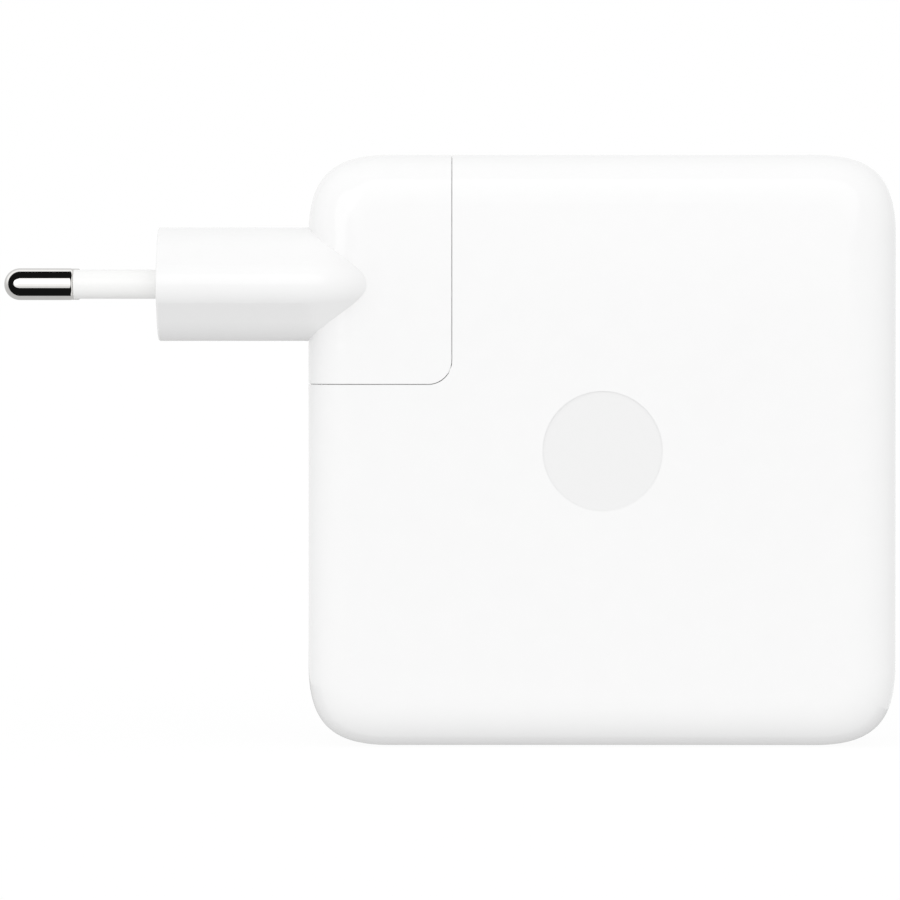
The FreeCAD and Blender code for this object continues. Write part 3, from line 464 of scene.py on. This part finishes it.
def worked(name, colours, gloss, line, along, relief):
    """Rolled or drawn metal. line is the pitch of its lines, and along is the axis they follow."""
    scales = [ALONG_DRAWN / line if axis == along else 1 / line for axis in "XYZ"]
    return lined(name, colours, gloss, scales, relief, detail=3.0)


def turned(name, colours, gloss, line, relief):
    """Metal turned about X, so that its rings only change along X. line is their pitch."""
    scales = (1 / line, ROUND_TURNED / line, ROUND_TURNED / line)
    return lined(name, colours, gloss, scales, relief, detail=2.0)


finishes["pin_nickel"] = turned("Nickel-plated brass, turned and polished",
                                ("#EFEDEA", "#F6F5F3"), (0.0, 0.003), 0.25 * MM, 0.00002 * MM)
finishes["stud_steel"] = turned("Stainless steel, turned",
                                ("#B4B5B8", "#CFD0D2"), (0.18, 0.32), 0.12 * MM, 0.0015 * MM)
finishes["contact_bronze"] = worked("Phosphor bronze, rolled",
                                    ("#B67B48", "#D2985F"), (0.25, 0.4), 0.1 * MM, "Z", 0.001 * MM)
finishes["spreader_aluminium"] = worked("Aluminium sheet, rolled",
                                        ("#BFC1C4", "#D4D5D7"), (0.3, 0.45), 0.15 * MM, "Z", 0.001 * MM)
finishes["socket_steel"] = worked("Stainless steel, deep drawn",
                                  ("#B9BABC", "#D0D1D3"), (0.16, 0.3), 0.1 * MM, "X", 0.001 * MM)
finishes["contact_gold"] = worked("Gold flash over copper alloy",
                                  ("#D2A84A", "#E6C36E"), (0.14, 0.26), 0.1 * MM, "X", 0.0008 * MM)
print("metals:", [kind for kind in finishes if kind not in plastics])

# %% [markdown]
# ## The circuit board and its magnetic parts
# The board is glass cloth in epoxy under a green solder mask, and the copper tracks below
# the mask stand a little proud and look paler. Ferrite is a fired ceramic, dark and
# speckled. Enamelled wire shows its turns as even ridges, and polyimide tape is a glassy
# amber film.

# %% Board, ferrite, wire and tape
TRACK_PITCH, TRACK_LENGTH, TRACK_EDGE = 1.3, 6.0, 0.09  # mm; a track is two edges wide
WIRE_DENSITY = 0.32 / MM  # puts the slanting bands about 1.1 mm apart


def laminate():
    """Green solder mask over tracks, drawn as the mortar of a wall in the upright board's plane."""
    material, tree, shader, place = start("Glass-epoxy board under solder mask", IOR=1.55)
    upright = add(tree, "ShaderNodeMapping", {"Vector": place, "Rotation": (math.pi / 2, 0, 0),
                                              "Scale": (1 / MM, 1 / MM, 1 / MM)})
    tracks = add(tree, "ShaderNodeTexBrick",
                 {"Vector": upright.outputs[0], "Scale": 1.0, "Mortar Size": TRACK_EDGE, "Mortar Smooth": 0.3,
                  "Brick Width": TRACK_LENGTH, "Row Height": TRACK_PITCH})
    hang(tree, shader, tracks.outputs["Fac"], ("#124A30", "#1F6B45"), (0.22, 0.36), 0.03 * MM)
    return material


def wound():
    """Enamelled copper wire. Its turns are drawn about 1 mm apart, coarser than real, to show."""
    material, tree, shader, place = start("Copper wire, enamelled and wound", Metallic=0.85)
    turns = add(tree, "ShaderNodeTexWave", {"Vector": place, "Scale": WIRE_DENSITY, "Distortion": 0.3},
                bands_direction="DIAGONAL")
    hang(tree, shader, turns.outputs["Fac"], ("#8C4418", "#C87436"), (0.18, 0.32), 0.08 * MM)
    return material


finishes["board_laminate"] = laminate()
finishes["winding_copper"] = wound()
finishes["ferrite"] = moulded("Ferrite, pressed and fired", ("#1F1F22", "#3A3A3E"), (0.45, 0.65), 1.9,
                              0.15 * MM, 0.01 * MM)
finishes["film_amber"] = moulded("Polyimide tape, amber film", ("#A66A12", "#C08424"), (0.12, 0.24), 1.7,
                                 2 * MM, 0.01 * MM)
finishes["pad_grey"] = moulded("Filled silicone pad, soft", ("#80848A", "#979BA1"), (0.6, 0.8), 1.41,
                               0.25 * MM, 0.02 * MM)
print("board and magnetic parts finished, with", len(finishes), "kinds so far")

# %% [markdown]
# ## Capacitors and ceramics
# A can capacitor is an aluminium cup in a printed sleeve, and only its flat ends are bare.
# A dipped part is a ceramic disc under blue epoxy, slightly lumpy. Chip ceramics are tiny
# tan blocks, and each one differs a little in tone. Their tinned ends are left out.

# %% Capacitors and ceramics
SCUFF = 1.25 * MM
CHIP_CELL = 2.5 * MM
LID_FACING = 0.85  # a surface that faces the can's axis at least this squarely is a bare end


def can(along):
    """A dark plastic sleeve, with bare aluminium where the surface faces along the can."""
    material, tree, shader, place = start("Aluminium can in a shrunk sleeve, along " + along, IOR=1.57)
    scuffs = add(tree, "ShaderNodeTexNoise", {"Vector": place, "Scale": 1 / SCUFF, "Detail": 3.0})
    sleeve = hang(tree, shader, scuffs.outputs["Fac"], ("#15233A", "#22324D"), (0.22, 0.38), 0.006 * MM)
    facing = add(tree, "ShaderNodeSeparateXYZ", {0: add(tree, "ShaderNodeNewGeometry", {}).outputs["Normal"]})
    either_way = add(tree, "ShaderNodeMath", {0: facing.outputs[along]}, operation="ABSOLUTE")
    lid = add(tree, "ShaderNodeMath", {0: either_way.outputs[0], 1: LID_FACING}, operation="GREATER_THAN")
    bare = add(tree, "ShaderNodeMix", {"Factor": lid.outputs[0], "A": sleeve, "B": linear("#C6C8CA")},
               data_type="RGBA")
    tree.links.new(bare.outputs["Result"], shader.inputs["Base Color"])
    tree.links.new(lid.outputs[0], shader.inputs["Metallic"])
    return material


def chips():
    """Small ceramic blocks, each with a tone of its own."""
    material, tree, shader, place = start("Barium titanate chips, fired", IOR=2.0)
    cells = add(tree, "ShaderNodeTexVoronoi", {"Vector": place, "Scale": 1 / CHIP_CELL})
    grain = add(tree, "ShaderNodeSeparateColor", {"Color": cells.outputs["Color"]})
    hang(tree, shader, grain.outputs[0], ("#7A5B3C", "#B79A72"), (0.3, 0.5), 0.004 * MM)
    return material


finishes["capacitor_can"] = can("X")
finishes["chip_ceramic"] = chips()
finishes["part_ceramic"] = moulded("Ceramic disc, dipped in blue epoxy", ("#1B4A85", "#285F9E"), (0.25, 0.4),
                                   1.55, 0.9 * MM, 0.03 * MM)

# %% [markdown]
# ## Put each finish on its solids
# Each solid carries one slot, named for its kind of surface. Two solids take a finish of
# their own: the front shell has the panel, and the output capacitors stand the other way.

# %% Dress the solids
own = {"front_shell": front_white, "output_capacitors": can("Y")}
for name, node in nodes.items():
    for slot in node.material_slots:
        slot.material = own.get(name, finishes[slot.material.name])
print("dressed", len(nodes), "solids in", len(finishes) + len(own), "finishes")

# %% [markdown]
# ## View settings
# The Standard view keeps white card white. The box of the adapter was written out at the
# start, before the dressing.

# %% Set the view
bpy.context.scene.view_settings.view_transform = "Standard"
